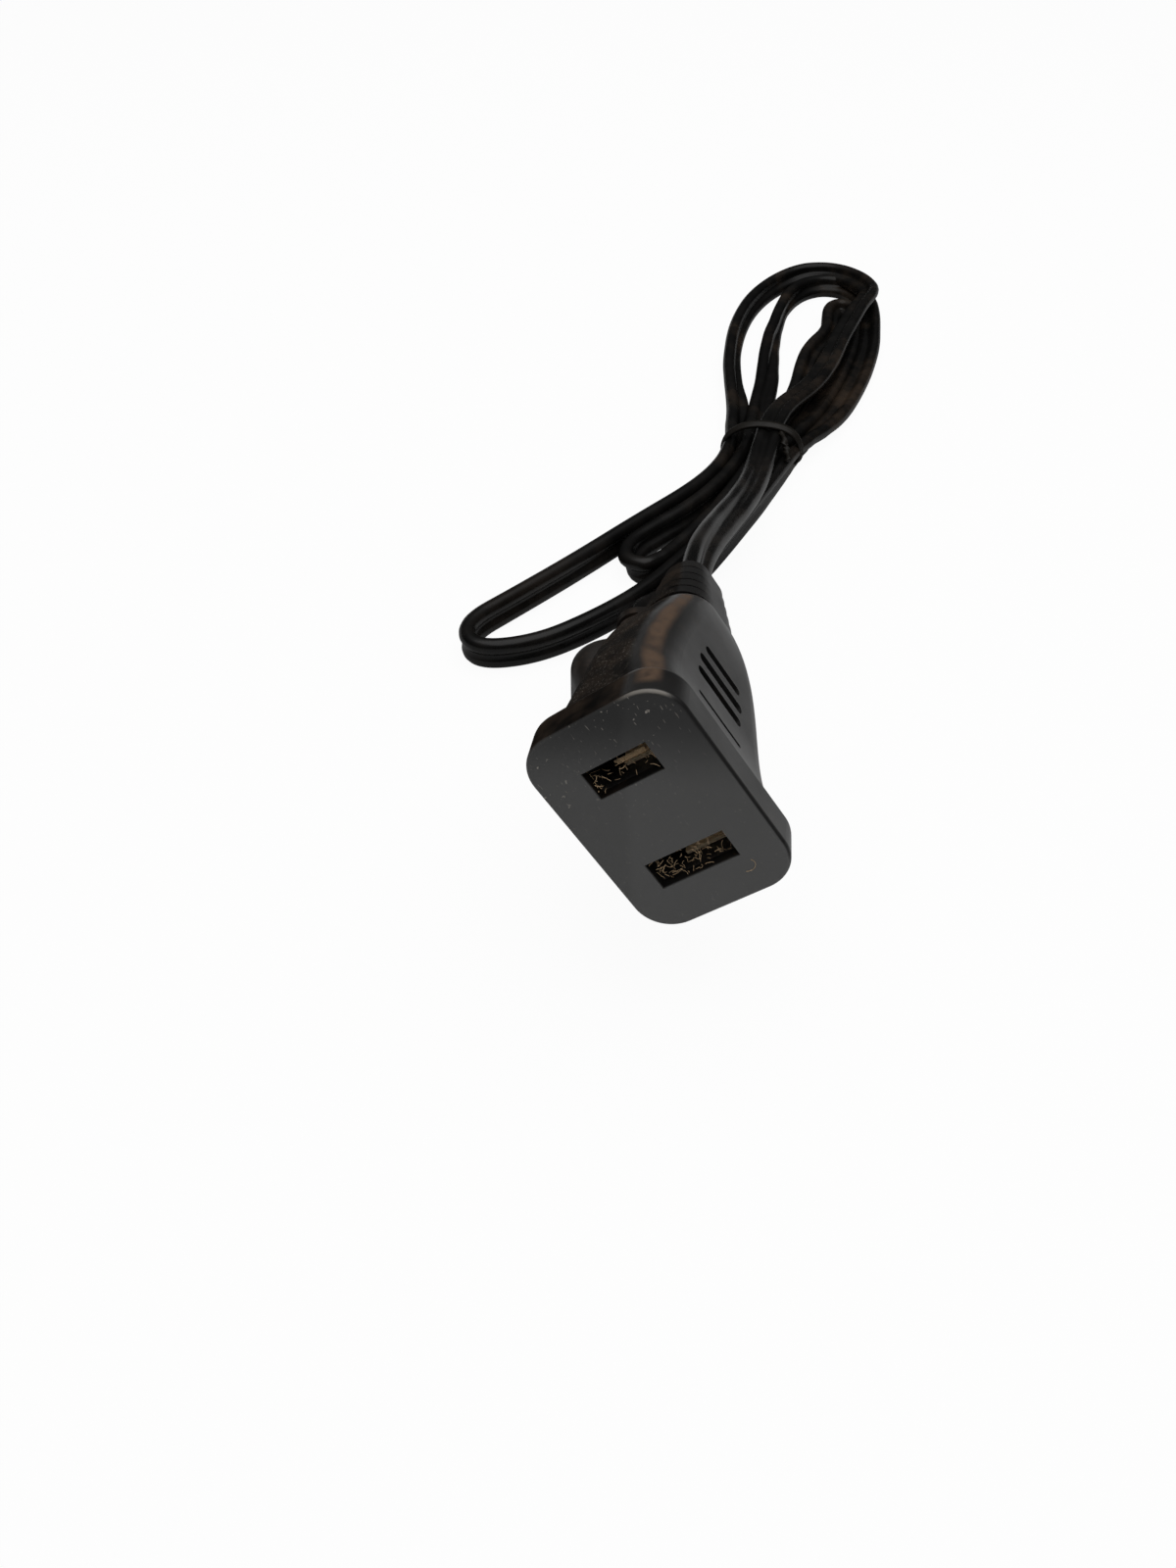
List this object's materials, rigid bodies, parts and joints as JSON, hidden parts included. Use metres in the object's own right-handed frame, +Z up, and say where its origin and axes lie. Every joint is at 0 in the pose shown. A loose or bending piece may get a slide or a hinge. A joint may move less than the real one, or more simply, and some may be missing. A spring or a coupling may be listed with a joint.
{
  "type": "power cord",
  "caption": "Flat twin power cord folded into a tied hank, with a moulded slotted connector on one end and a moulded blade plug on the other.",
  "frame": {"origin": "on the table, below the middle of the box round the connector and the plug", "axes": "+Y from the connector's face towards the hank, along the plug, +Z up, +X to the right as the connector's face is seen"},
  "size_m": [0.0904, 0.2231, 0.0411],
  "materials": {
    "moulding": "moulded, satin, worn",
    "inner_moulding": "moulded, matte",
    "contact": "stamped sheet",
    "blade": "stamped, plated",
    "core": "insulated wire",
    "cord": "extruded, satin",
    "tie": "satin"
  },
  "bodies": {
    "root": {"connector_housing": "moulding", "connector_carrier": "inner_moulding", "contact_narrow": "contact", "contact_wide": "contact", "connector_core_narrow": "core", "connector_core_wide": "core", "cord_connector_lead": "cord", "cord_hank": "cord", "cord_plug_lead": "cord", "hank_tie": "tie", "plug_housing": "moulding", "plug_bridge": "inner_moulding", "blade_narrow": "blade", "blade_wide": "blade", "plug_core_narrow": "core", "plug_core_wide": "core"}
  },
  "joints": []
}
